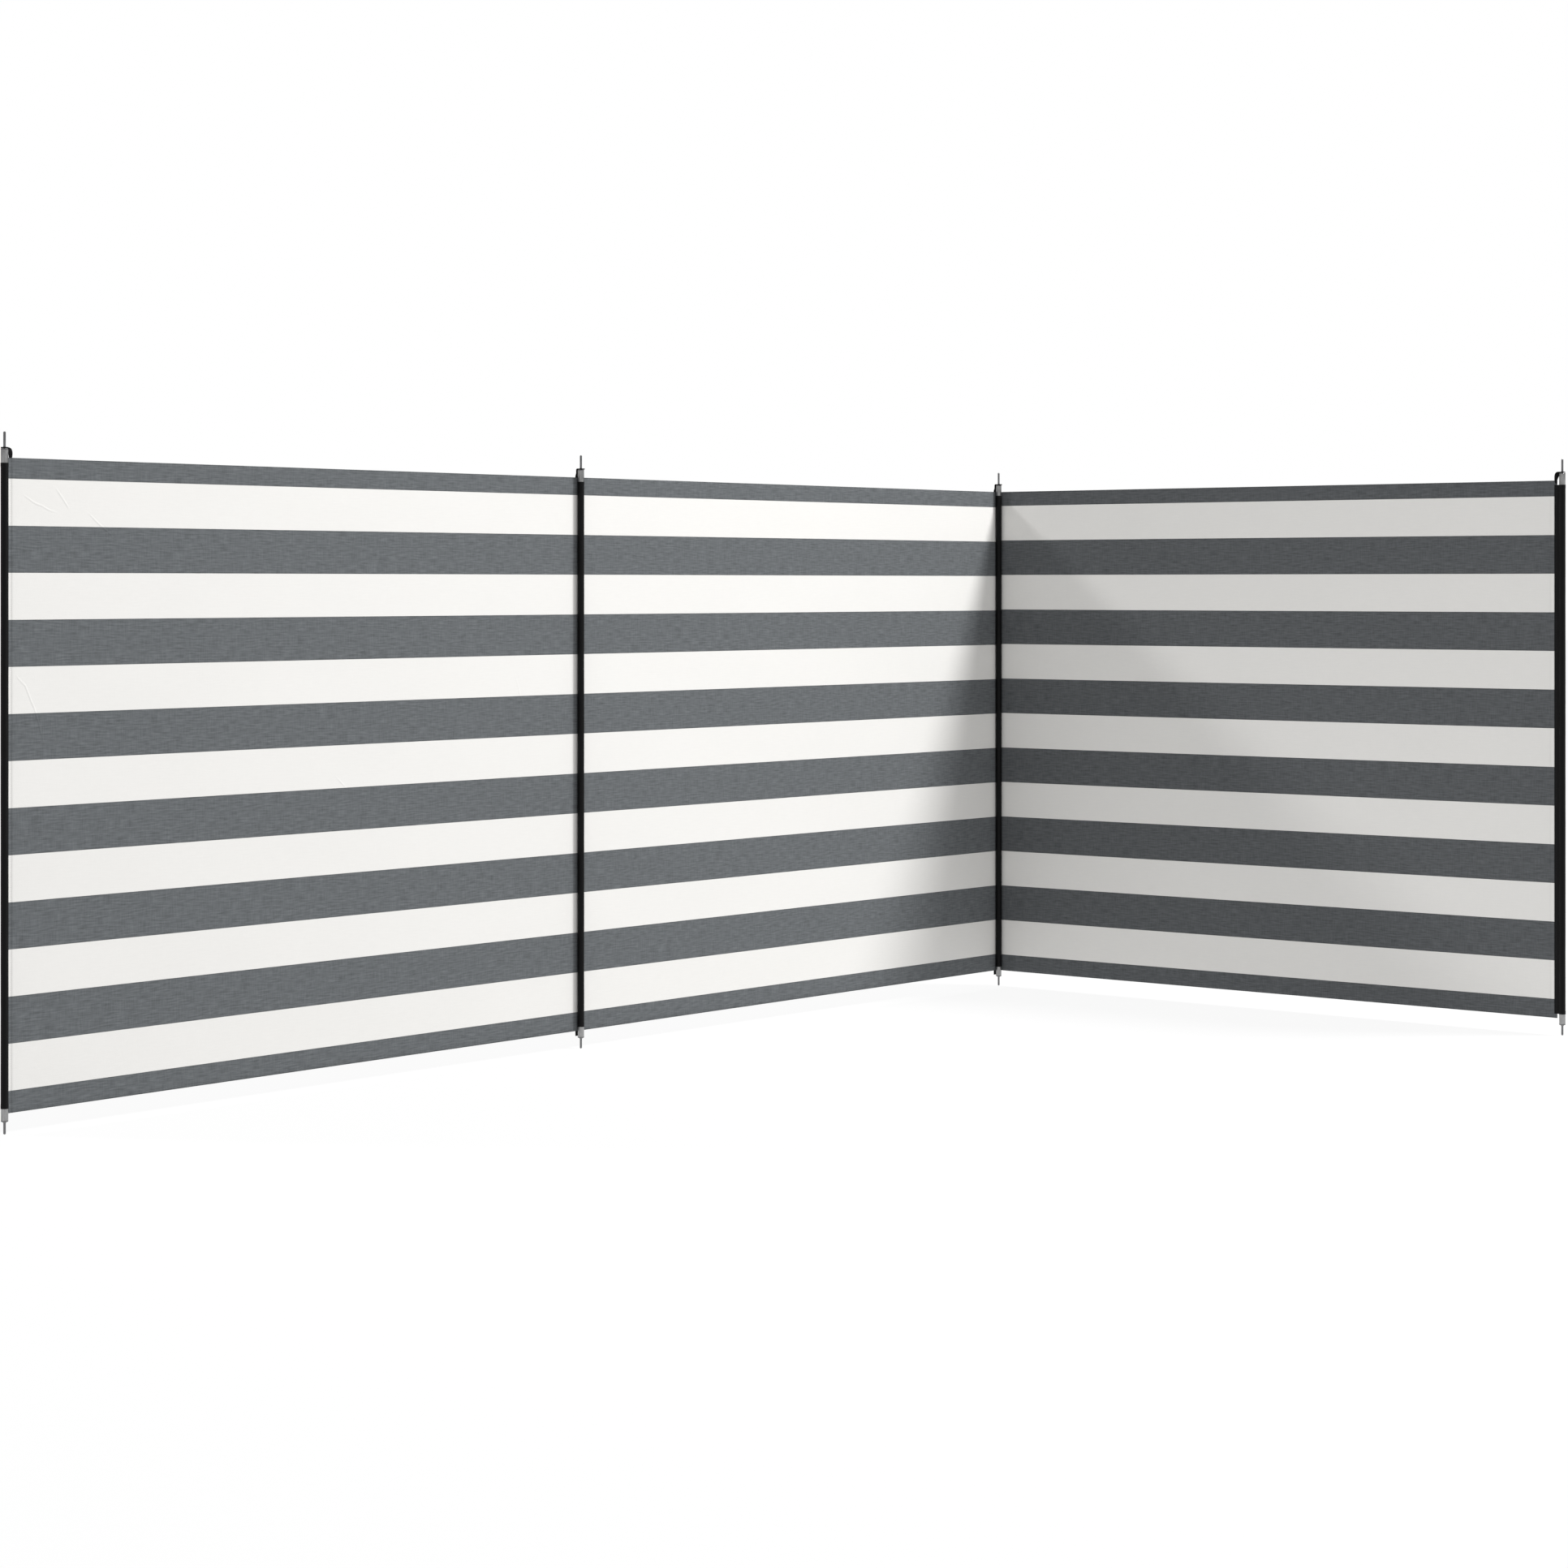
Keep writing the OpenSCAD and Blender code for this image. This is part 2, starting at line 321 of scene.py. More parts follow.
def striped_cloth(colours, sizes):
    """Woven cloth in grey and white stripes, with heathered yarn and a fine weave."""
    material, tree, surface = new_shader("striped_cloth", {"Specular IOR Level": 0.10})
    weave, along, height = weave_axes(tree)
    pitch = sizes.stripe_height
    full_stripes = 2 * math.floor(((CLOTH_TOP - CLOTH_BOTTOM) / pitch - 1) / 2) + 1
    first_white = CLOTH_MIDDLE - full_stripes * pitch / 2
    # The swing is 0 in the middle of a white stripe, 1 in the middle of a grey one and a half at their edges
    step = maths(tree, "DIVIDE", minus(tree, height, first_white + pitch / 2), pitch)
    swing = maths(tree, "PINGPONG", step, 1.0)
    blur = STRIPE_BLUR / pitch
    line = STRIPE_LINE / pitch
    greyness = ramp(tree, swing, 0.5 - blur, 0.5 + blur)
    inner_side = ramp(tree, swing, 0.5 + line * 0.4, 0.5 + line, 1.0, 0.0)
    edge_line = times(tree, greyness, inner_side)
    weft = grain(tree, weave, (30.0, 300.0, 1.0), 4.0)
    warp = grain(tree, weave, (330.0, 30.0, 1.0), 2.0)
    cloud = grain(tree, weave, (3.0, 5.0, 1.0), 2.0)
    yarn = plus(tree, times(tree, weft, 0.70), times(tree, warp, 0.30))
    contrast = ramp(tree, greyness, 0.0, 1.0, 0.07, 1.55)
    tone = times(tree, minus(tree, yarn, 0.5), contrast)
    tone = plus(tree, tone, times(tree, minus(tree, cloud, 0.5), 0.03))
    tone = minus(tree, tone, times(tree, edge_line, 0.16))
    # Painted shade: the cloth is darkened in a thin band along its top and bottom edges, where the hems fold
    # over
    place = add(tree, "SeparateXYZ", {0: add(tree, "TexCoord").outputs["Object"]}).outputs["Z"]
    from_middle = maths(tree, "ABSOLUTE", minus(tree, place, CLOTH_MIDDLE))
    half_height = (CLOTH_TOP - CLOTH_BOTTOM) / 2
    painted_fold_shade = ramp(tree, from_middle, half_height - FOLD_SHADE_START, half_height - FOLD_SHADE_END)
    tone = minus(tree, tone, times(tree, painted_fold_shade, 0.22))
    # Painted shade: the right bay, whose front the key light doesn't reach, takes the darker grey
    right_bay = ramp(tree, along, CORNER_SEAM - SEAM_EDGE, CORNER_SEAM + SEAM_EDGE)
    grey = mixed(tree, right_bay, opaque(colours.stripe_grey), opaque(colours.right_bay_shaded_grey))
    plain = mixed(tree, greyness, opaque(colours.stripe_white), grey)
    tree.links.new(scaled(tree, plain, plus(tree, tone, 1.0)), surface.inputs["Base Color"])
    threads = times(tree, ridges(tree, along, YARN_PITCH), ridges(tree, height, YARN_PITCH))
    raised = times(tree, threads, 0.00003)
    raised = plus(tree, raised, times(tree, weft, 0.00010))
    raise_surface(tree, surface, raised)
    tree.links.new(ramp(tree, yarn, 0.3, 0.7, 0.80, 0.92), surface.inputs["Roughness"])
    return material


def black_cloth(colours):
    """Black coated cloth in a fine twill, with faint streaks of dust."""
    material, tree, surface = new_shader("black_sleeve", {"Specular IOR Level": 0.14})
    weave, across, along = weave_axes(tree)
    slant = plus(tree, across, times(tree, along, 0.5))
    twill = times(tree, ridges(tree, slant, 0.0011), ridges(tree, along, 0.0009))
    dust = grain(tree, weave, (160.0, 24.0, 1.0), 4.0)
    streak = grain(tree, weave, (900.0, 30.0, 1.0), 2.0)
    tone = plus(tree, ramp(tree, dust, 0.45, 0.8, 0.8, 1.9), times(tree, streak, 0.4))
    tree.links.new(scaled(tree, colours.sleeve_black, tone), surface.inputs["Base Color"])
    raised = times(tree, twill, 0.00004)
    raised = plus(tree, raised, times(tree, dust, 0.00020))
    raise_surface(tree, surface, raised)
    tree.links.new(ramp(tree, dust, 0.3, 0.7, 0.42, 0.62), surface.inputs["Roughness"])
    return material


def black_webbing(colours):
    """Black webbing with ribs across it and a bound edge along each side."""
    material, tree, surface = new_shader("black_webbing", {"Specular IOR Level": 0.10})
    weave, across, along = weave_axes(tree)
    ribs = ridges(tree, along, 0.0014)
    yarns = ridges(tree, across, 0.0016)
    side = maths(tree, "ABSOLUTE", across)
    bound = ramp(tree, side, WEBBING_WIDTH / 2 - 0.0016, WEBBING_WIDTH / 2 - 0.0010)
    fuzz = grain(tree, weave, (500.0, 500.0, 1.0), 3.0)
    tone = plus(tree, ramp(tree, ribs, -1.0, 1.0, 0.6, 1.3), times(tree, fuzz, 0.8))
    tree.links.new(scaled(tree, colours.webbing_black, tone), surface.inputs["Base Color"])
    raised = times(tree, times(tree, ribs, yarns), 0.00010)
    raised = plus(tree, raised, times(tree, bound, 0.00018))
    raise_surface(tree, surface, raised)
    tree.links.new(ramp(tree, fuzz, 0.3, 0.7, 0.55, 0.75), surface.inputs["Roughness"])
    return material


def thread_material(name, rgb):
    """Twisted sewing thread."""
    material, tree, surface = new_shader(name, {"Roughness": 0.7})
    place = add(tree, "TexCoord").outputs["Object"]
    twist = grain(tree, place, (900.0, 900.0, 2600.0), 2.0)
    tree.links.new(scaled(tree, rgb, ramp(tree, twist, 0.3, 0.7, 0.75, 1.2)), surface.inputs["Base Color"])
    raise_surface(tree, surface, times(tree, twist, 0.00008))
    return material


def drawn_steel(name, rgb, roughness):
    """Bare steel with fine lines along its length, dull patches and a few bright scratches."""
    material, tree, surface = new_shader(name, {"Metallic": 1.0})
    place = add(tree, "TexCoord").outputs["Object"]
    lines = grain(tree, place, (1500.0, 1500.0, 18.0), 3.0)
    patches = grain(tree, place, (90.0, 90.0, 60.0), 4.0)
    scratch = ramp(tree, grain(tree, place, (700.0, 700.0, 90.0), 1.0), 0.66, 0.72)
    tone = ramp(tree, lines, 0.3, 0.7, 0.82, 1.06)
    tone = plus(tree, tone, times(tree, scratch, 0.12))
    tone = times(tree, tone, ramp(tree, patches, 0.35, 0.65, 0.86, 1.08))
    tree.links.new(scaled(tree, rgb, tone), surface.inputs["Base Color"])
    rough = plus(tree, ramp(tree, patches, 0.3, 0.7, -0.06, 0.10), roughness)
    rough = minus(tree, rough, times(tree, scratch, 0.1))
    tree.links.new(rough, surface.inputs["Roughness"])
    raise_surface(tree, surface, times(tree, lines, 0.00003))
    return material


def floor_material(colours, glow):
    """Pale matt studio floor with a faint grain, lit from below so that shadows stay faint."""
    values = {"Roughness": 0.9, "Specular IOR Level": 0.0, "Emission Strength": glow}
    values["Emission Color"] = (1, 1, 1, 1)
    material, tree, surface = new_shader("studio_floor", values)
    place = add(tree, "TexCoord").outputs["Object"]
    speckle = grain(tree, place, (40.0, 40.0, 40.0), 3.0)
    tone = ramp(tree, speckle, 0.3, 0.7, 0.99, 1.01)
    tree.links.new(scaled(tree, colours.floor_white, tone), surface.inputs["Base Color"])
    return material


# Mesh helpers

SHARP_ANGLE = math.radians(40)


def add_object(name, mesh, material):
    """A new object that holds a mesh."""
    mesh.materials.append(material)
    piece = bpy.data.objects.new(name, mesh)
    bpy.context.scene.collection.objects.link(piece)
    return piece


def link_piece(name, bm, material):
    """A new object that holds the mesh, with soft shading and sharp edges."""
    bm.normal_update()
    for face in bm.faces:
        face.smooth = True
    for edge in bm.edges:
        edge.smooth = len(edge.link_faces) == 2 and edge.calc_face_angle() < SHARP_ANGLE
    mesh = bpy.data.meshes.new(name)
    bm.to_mesh(mesh)
    bm.free()
    return add_object(name, mesh, material)


def sweep(outline, along, runs):
    """A mesh swept from an outline by runs of steps. Each vertex keeps how far along the outline it lies."""
    bm = bmesh.new()
    distance = bm.verts.layers.float.new("along")
    verts = [bm.verts.new(point) for point in outline]
    for vert, value in zip(verts, along):
        vert[distance] = value
    geom = verts + [bm.edges.new(pair) for pair in zip(verts, verts[1:])]
    for step, count in runs:
        made = bmesh.ops.spin(
            bm, geom=geom, angle=0.0, steps=count, dvec=step, axis=(0, 0, 1), cent=(0, 0, 0)
        )
        geom = made["geom_last"]
    return bm


def map_weave(bm, place):
    """Lays the weave's map on the mesh, from a function of a vertex."""
    weave = bm.loops.layers.uv.new(WEAVE_MAP)
    for face in bm.faces:
        for loop in face.loops:
            loop[weave].uv = place(loop.vert)


def thicken(bm, thickness):
    """Gives an open sheet its thickness, half to each side."""
    bmesh.ops.recalc_face_normals(bm, faces=bm.faces)
    bm.normal_update()
    for vert in bm.verts:
        vert.co += vert.normal * thickness / 2
    bm.normal_update()
    bmesh.ops.solidify(bm, geom=bm.faces[:], thickness=thickness)


def distances(points):
    """How far along a line of points each one lies."""
    total = [0.0]
    for first, second in zip(points, points[1:]):
        total.append(total[-1] + (second - first).length)
    return total


def rounded(points, passes=3):
    """The line of points with its corners cut and cut again, so that it runs in smooth bends."""
    for _ in range(passes):
        cut = [points[0]]
        for first, second in zip(points, points[1:]):
            cut += [first.lerp(second, 0.25), first.lerp(second, 0.75)]
        points = cut + [points[-1]]
    return points


def point_at(points, total, distance):
    """The point that lies at a distance along a line of points."""
    for index in range(1, len(points) - 1):
        if total[index] >= distance:
            break
    else:
        index = len(points) - 1
    span = total[index] - total[index - 1]
    return points[index - 1].lerp(points[index], (distance - total[index - 1]) / span)


def smooth_step(value):
    value = min(max(value, 0.0), 1.0)
    return value * value * (3 - 2 * value)


def post_frame(post):
    """Where a post stands, and which way its pieces are turned."""
    place = Vector((POSTS[post].x, POSTS[post].y, 0))
    turn = RIGHT_END_TURN if post == "right_end" else 0.0
    return Matrix.Translation(place) @ Matrix.Rotation(turn, 4, "Z")


def build_stitching(name, stitches, sizes, material):
    """Many copies of one stitch, each given as its place, its direction and the surface's normal there."""
    bm = bmesh.new()
    bmesh.ops.create_icosphere(bm, subdivisions=1, radius=0.5)
    bmesh.ops.scale(bm, vec=(sizes.stitch_length, sizes.thread, sizes.thread), verts=bm.verts)
    corners = [vert.co.copy() for vert in bm.verts]
    sides = [[vert.index for vert in face.verts] for face in bm.faces]
    bm.free()
    points, faces = [], []
    for place, direction, normal in stitches:
        turn = Matrix((direction, normal.cross(direction), normal)).transposed()
        faces += [[index + len(points) for index in side] for side in sides]
        points += [place + turn @ corner for corner in corners]
    mesh = bpy.data.meshes.new(name)
    mesh.from_pydata(points, [], faces)
    mesh.shade_smooth()
    return add_object(name, mesh, material)


def stitch_line(start, end, normal, sizes):
    """Stitches along a straight line on a flat surface."""
    count = max(1, round((end - start).length / sizes.stitch_pitch))
    direction = (end - start).normalized()
    return [(start.lerp(end, (index + 0.5) / count), direction, normal) for index in range(count)]


# Cloth

def slack_at(along, height, sizes):
    """How far the cloth swells out of its plane, nothing near the posts and the hems."""
    bay = POSTS["corner"].x - POSTS["left_middle"].x
    from_post = abs((along / bay + 0.5) % 1.0 - 0.5) * bay
    from_edge = min(height - CLOTH_BOTTOM, CLOTH_TOP - height)
    hold = smooth_step((from_post - 0.02) / 0.16) * smooth_step((from_edge + 0.03) / 0.12)
    swell = noise.noise(Vector((along * 1.9, height * 2.6, 3.7)))
    ripple = noise.noise(Vector((along * 5.5 + height * 2.0, height * 7.0, 9.1)))
    return sizes.slack * hold * (0.8 * swell + 0.3 * ripple)


def seam_at(along, sizes):
    """How far the seams beside the end posts draw the cloth in, towards the side they are sewn on."""
    from_left = along - POSTS["left_end"].x
    groove = math.exp(-(((from_left - sizes.seam_place) / sizes.seam_width) ** 2))
    from_right = CORNER_WRAP - POSTS["right_end"].y - along
    ridge = math.exp(-(((from_right - sizes.ridge_place) / sizes.seam_width) ** 2))
    return sizes.seam_depth * groove + sizes.ridge_height * ridge


# Sharp creases in the left bay, as lines of points: distance from the left post and height
CREASES = (
    ((0.044, 1.341), (0.084, 1.320), (0.150, 1.297)),
    ((0.134, 1.359), (0.155, 1.334), (0.176, 1.307)),
    ((0.220, 1.306), (0.262, 1.275), (0.304, 1.243)),
    ((0.543, 1.254), (0.564, 1.213)),
    ((0.028, 0.956), (0.054, 0.929), (0.079, 0.880), (0.115, 0.776)),
    ((1.561, 0.945), (1.624, 0.775)),
    ((0.953, 0.704), (1.010, 0.654)),
)

# The creases wander a little from their lines, and fade over this share of their first and last stretches
CREASE_WAVES = 30.0
CREASE_SHIFT = Vector((0, 0, 5.3))
CREASE_WANDER = 0.0025
CREASE_FADE = 0.6

# Strips of finer cells along the creases: half a strip's width, its longest edge and the cuts in longer ones
CREASE_STRIPS = ((0.0125, 0.004, 3), (0.0064, 0.0015, 2))


def crease_stretches(along, height):
    """How far a point of the cloth lies from each stretch of a crease, and the crease's strength there."""
    spot = Vector((along - POSTS["left_end"].x, height))
    waves = (spot * CREASE_WAVES).to_3d()
    spot += Vector((noise.noise(waves), noise.noise(waves + CREASE_SHIFT))) * CREASE_WANDER
    for line in CREASES:
        for start, end in zip(line, line[1:]):
            run = Vector(end) - Vector(start)
            offset = spot - Vector(start)
            share = min(max(offset.dot(run) / run.length_squared, 0.0), 1.0)
            strength = 1.0
            if start == line[0]:
                strength *= smooth_step(share / CREASE_FADE)
            if end == line[-1]:
                strength *= smooth_step((1 - share) / CREASE_FADE)
            yield (offset - run * share).length, strength


def crease_at(along, height, sizes):
    """How far the nearest crease lifts the cloth out of its plane."""
    rises = [
        strength * max(0.0, 1 - away / sizes.crease_width)
        for away, strength in crease_stretches(along, height)
    ]
    return sizes.crease_height * max(rises)


def refine_creases(bm):
    """Cuts the cells of a flat sheet finer along its creases."""
    for width, longest, cuts in CREASE_STRIPS:
        edges = {}
        for face in bm.faces:
            middle = face.calc_center_median()
            if min(away for away, strength in crease_stretches(middle.x, middle.z)) < width:
                edges.update((edge, None) for edge in face.edges if edge.calc_length() > longest)
        bmesh.ops.subdivide_edges(bm, edges=list(edges), cuts=cuts, use_grid_fill=True)


def cloth_place(along, offset, height):
    """A point of the cloth, which runs straight and then round the corner post's back into the right bay."""
    radius = CLOTH_PLANE + offset
    if along <= 0:
        return Vector((along, radius, height))
    if along < CORNER_WRAP:
        angle = along / CLOTH_PLANE
        return Vector((radius * math.sin(angle), radius * math.cos(angle), height))
    return Vector((radius, CORNER_WRAP - along, height))


# How far the printed stripes sit above their even places: along the windbreak, at the bottom and at the top
STRIPE_DRIFT = (
    (POSTS["left_end"].x, 0.0027, 0.0004),
    (CORNER_SEAM - SEAM_EDGE, 0.0027, 0.0000),
    (CORNER_SEAM + SEAM_EDGE, 0.0019, 0.0040),
    (CORNER_WRAP - POSTS["right_end"].y, 0.0042, 0.0039),
)


def weave_place(vert):
    """Where a point of a flat sheet lies on the weave, whose stripes drift a little from post to post."""
    along, height = vert.co.x, vert.co.z
    for before, after in zip(STRIPE_DRIFT, STRIPE_DRIFT[1:]):
        if along <= after[0]:
            break
    share = (along - before[0]) / (after[0] - before[0])
    bottom = before[1] + (after[1] - before[1]) * share
    top = before[2] + (after[2] - before[2]) * share
    rise = (height - CLOTH_BOTTOM) / (CLOTH_TOP - CLOTH_BOTTOM)
    return along, height - bottom - (top - bottom) * rise


# The sewn end of a sheet and its cells, the cells in a fold, and how far the two rows of stitches lie from
# the line where a middle sleeve is sewn on
END_ZONE = 0.045
END_CELL = 0.0015
FOLD_CELL = 0.001
SEWN_ROW = 0.002


class Sheet(NamedTuple):
    """One bay of cloth: its place along the windbreak, its bodies and the posts that hold it."""

    name: str
    start: float
    end: float
    fine_spans: tuple
    bodies: tuple
    fold: tuple
    posts: tuple
    sewn_at: tuple
    creased: bool = False

    def surface(self, along, offset, height, sizes):
        """A point of the hanging cloth."""
        bulge = slack_at(along, height, sizes) + seam_at(along, sizes)
        if self.creased:
            bulge -= crease_at(along, height, sizes)
        return cloth_place(along, offset + bulge, height)

    def carry(self, piece):
        """Lets a piece move with the cloth's bodies."""
        if self.fold is None:
            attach(piece, self.bodies[0])
        else:
            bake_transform(piece, *self.bodies, start=self.fold[0], end=self.fold[1])


def cloth_sheets(sizes):
    """The three bays of cloth. The two outer ones take in the folds round the middle posts."""
    reach = sizes.fold_reach
    left_fold = POSTS["left_middle"].x
    right_end = CORNER_WRAP - RIGHT_CLOTH_END - sizes.right_inset
    fold_zone = 2 * reach + CORNER_WRAP
    return (
        Sheet(
            "left_cloth_sheet", LEFT_CLOTH_END, left_fold + reach,
            ((END_ZONE, END_CELL, False), (2 * reach, FOLD_CELL, True)),
            ("left_bay", "middle_bay"),
            ((left_fold - reach, CLOTH_PLANE, CLOTH_MIDDLE), (left_fold + reach, CLOTH_PLANE, CLOTH_MIDDLE)),
            ("left_end", "left_middle"), (left_fold,), creased=True,
        ),
        Sheet(
            "middle_cloth_sheet", left_fold + reach, -reach, (), ("middle_bay",), None,
            ("left_middle", "corner"), (),
        ),
        Sheet(
            "right_cloth_sheet", -reach, right_end,
            ((fold_zone, FOLD_CELL, False), (END_ZONE, END_CELL, True)),
            ("middle_bay", "right_bay"),
            ((-reach, CLOTH_PLANE, CLOTH_MIDDLE), (CLOTH_PLANE, -reach, CLOTH_MIDDLE)),
            ("corner", "right_end"), (CORNER_SEAM,),
        ),
    )


def cloth_outline(sizes):
    """Offsets and heights up one sheet: the bottom hem, the face and the top hem, as one folded line."""
    fold = sizes.hem_fold
    arc = [math.pi * step / 4 for step in range(5)]
    rows = round((CLOTH_TOP - CLOTH_BOTTOM) / sizes.cloth_pitch)
    low, high = CLOTH_BOTTOM + fold, CLOTH_TOP - fold
    hem = sizes.hem_height
    line = [(2 * fold, CLOTH_BOTTOM + hem), (2 * fold, CLOTH_BOTTOM + hem / 2)]
    line += [(fold + fold * math.cos(angle), low - fold * math.sin(angle)) for angle in arc]
    line += [(0.0, low + (high - low) * row / rows) for row in range(1, rows)]
    line += [(fold - fold * math.cos(angle), high + fold * math.sin(angle)) for angle in arc]
    line += [(2 * fold, CLOTH_TOP - hem / 2), (2 * fold, CLOTH_TOP - hem)]
    return line


def cloth_runs(sheet, sizes):
    """Steps along a sheet, finer where it folds or is sewn."""
    spans = [(width, pitch) for width, pitch, at_end in sheet.fine_spans if not at_end]
    plain = sheet.end - sheet.start - sum(width for width, pitch, at_end in sheet.fine_spans)
    spans.append((plain, sizes.cloth_pitch))
    spans += [(width, pitch) for width, pitch, at_end in sheet.fine_spans if at_end]
    return [((width / round(width / pitch), 0, 0), round(width / pitch)) for width, pitch in spans]


def build_sheet(sheet, sizes, material):
    """One bay of cloth with its hems, as a thin closed shell."""
    outline = [Vector((sheet.start, offset, height)) for offset, height in cloth_outline(sizes)]
    bm = sweep(outline, distances(outline), cloth_runs(sheet, sizes))
    if sheet.creased:
        refine_creases(bm)
    map_weave(bm, weave_place)
    for vert in bm.verts:
        vert.co = sheet.surface(vert.co.x, vert.co.y, vert.co.z, sizes)
    thicken(bm, sizes.cloth_thickness)
    return link_piece(sheet.name, bm, material)


def build_hem_stitching(sheet, sizes, material):
    """Rows of stitches along both hems of a sheet, and down the back where a sleeve is sewn on."""
    half = sizes.cloth_thickness / 2
    inset = sizes.hem_height * 0.72
    upright = Vector((0, 0, 1))
    stitches = []
    for height in (CLOTH_BOTTOM + inset, CLOTH_TOP - inset):
        for offset in (-half, 2 * sizes.hem_fold + half):
            for index in range(int((sheet.end - sheet.start) / sizes.stitch_pitch)):
                along = sheet.start + (index + 0.5) * sizes.stitch_pitch
                here = sheet.surface(along, offset, height, sizes)
                direction = (sheet.surface(along + 0.001, offset, height, sizes) - here).normalized()
                stitches.append((here, direction, direction.cross(upright).normalized()))
    for along in [place + side for place in sheet.sewn_at for side in (-SEWN_ROW, SEWN_ROW)]:
        for index in range(int((SLEEVE_HIGH.z - SLEEVE_LOW.z) / sizes.stitch_pitch)):
            height = SLEEVE_LOW.z + (index + 0.5) * sizes.stitch_pitch
            here = sheet.surface(along, half, height, sizes)
            normal = (sheet.surface(along, 2 * half, height, sizes) - here).normalized()
            stitches.append((here, upright, normal))
    return build_stitching(sheet.name.replace("sheet", "hem_stitching"), stitches, sizes, material)


class WINDBREAK_OT_cloth(bpy.types.Operator):
    """Make the three bays of striped cloth with their hems"""

    bl_idname = "windbreak.cloth"
    bl_label = "Striped Cloth"

    def execute(self, context):
        sizes = context.scene.windbreak_sizes
        colours = context.scene.windbreak_colours
        cloth = striped_cloth(colours, sizes)
        thread = thread_material("hem_thread", (0.085, 0.091, 0.096))
        for sheet in cloth_sheets(sizes):
            piece = build_sheet(sheet, sizes, cloth)
            stitching = build_hem_stitching(sheet, sizes, thread)
            node = sheet.name.replace("_sheet", "")
            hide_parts(node)
            for part in (piece, stitching):
                sheet.carry(part)
            held_by = [f"{post}_sleeve_cloth" for post in sheet.posts]
        return {"FINISHED"}


# Sleeves

SLEEVE_TURNS = 44
SLEEVE_LAP = math.radians(14)
LAP_STEPS = 6
LAP_NECK = 0.0012
LAP_STAGGER = 0.0005
LAP_SEAM_INSET = 0.005
TURN_IN = 0.04
TURN_OUT = 0.06


def around(radius, angle):
    return Vector((radius * math.cos(angle), radius * math.sin(angle), 0))


def middle_sleeve_outline(sizes):
    """The line of a middle sleeve's cloth, seen from above: round the pole, with its ends lapped behind."""
    radius = SLEEVE_RADIUS - sizes.sleeve_wall / 2
    sweep_angle = 2 * math.pi + 2 * SLEEVE_LAP
    line = []
    for step in range(SLEEVE_TURNS + 1):
        share = step / SLEEVE_TURNS
        angle = math.pi / 2 - SLEEVE_LAP + sweep_angle * share
        over = sizes.sleeve_wall * smooth_step((share - 0.86) / 0.08)
        line.append(around(radius + over, angle))
    return line


def end_sleeve_outline(sizes):
    """The line of an end sleeve's cloth, seen from above: in along the lap, round the pole and out again."""
    radius = SLEEVE_RADIUS - sizes.sleeve_wall / 2
    inner = CLOTH_GAP + sizes.sleeve_wall / 2
    outer = inner + sizes.sleeve_wall * 1.05
    first = math.asin(inner / radius)
    last = math.asin(outer / radius)
    neck = radius + LAP_NECK
    span = 2 * math.pi - (last - first)
    shares = [step / LAP_STEPS for step in range(LAP_STEPS + 1)]
    line = [Vector((LAP_REACH + (neck - LAP_REACH) * share, inner, 0)) for share in shares]
    for step in range(SLEEVE_TURNS + 1):
        turned = TURN_IN + (span - TURN_IN - TURN_OUT) * step / SLEEVE_TURNS
        line.append(around(radius, first - turned))
    line += [Vector((neck + (LAP_REACH - LAP_STAGGER - neck) * share, outer, 0)) for share in shares]
    return line


def sleeve_runs(sizes):
    """Steps up a sleeve, finer in the hems at its ends."""
    hem_steps = 8
    body_steps = 110
    hem = sizes.sleeve_hem * 1.5
    body = SLEEVE_HIGH.z - SLEEVE_LOW.z - 2 * hem
    hem_run = ((0, 0, hem / hem_steps), hem_steps)
    return hem_run, ((0, 0, body / body_steps), body_steps), hem_run


def wrinkle_sleeve(bm, sizes, seed):
    """Lifts the hems at a sleeve's ends and draws small wrinkles along it."""
    bm.normal_update()
    lift = sizes.sleeve_wall * 0.7
    for vert in bm.verts:
        place = vert.co.copy()
        from_end = min(place.z - SLEEVE_LOW.z, SLEEVE_HIGH.z - place.z)
        hem = 1 - smooth_step((from_end - sizes.sleeve_hem) / 0.002)
        tube = smooth_step((SLEEVE_RADIUS * 1.15 - place.xy.length) / 0.001)
        long_fold = noise.noise(Vector((place.x * 130, place.y * 130, place.z * 6 + seed)))
        pucker = noise.noise(Vector((place.x * 60, place.y * 60, place.z * 60 + seed)))
        wrinkle = sizes.sleeve_wrinkle * (0.7 * long_fold + 0.5 * pucker)
        vert.co += vert.normal * (hem * lift + wrinkle * tube * (1 - hem) - sizes.sleeve_wrinkle)


def build_sleeve(post, sizes, material, seed):
    """The black sleeve round one pole, with a flat lap at an end pole."""
    outline = end_sleeve_outline(sizes) if post in END_POSTS else middle_sleeve_outline(sizes)
    outline = [point + Vector((0, 0, SLEEVE_LOW.z)) for point in outline]
    bm = sweep(outline, distances(outline), sleeve_runs(sizes))
    along = bm.verts.layers.float["along"]
    map_weave(bm, lambda vert: (vert[along], vert.co.z))
    bmesh.ops.recalc_face_normals(bm, faces=bm.faces)
    front = min(bm.faces, key=lambda face: face.calc_center_median().x)
    if front.normal.x > 0:
        bmesh.ops.reverse_faces(bm, faces=bm.faces)
    wrinkle_sleeve(bm, sizes, seed)
    if post == "left_end":
        for vert in bm.verts:
            vert.co.y += seam_at(POSTS[post].x + vert.co.x, sizes)
    bm.normal_update()
    bmesh.ops.solidify(bm, geom=bm.faces[:], thickness=sizes.sleeve_wall)
    bmesh.ops.transform(bm, matrix=post_frame(post), verts=bm.verts)
    return link_piece(f"{post}_sleeve_cloth", bm, material)


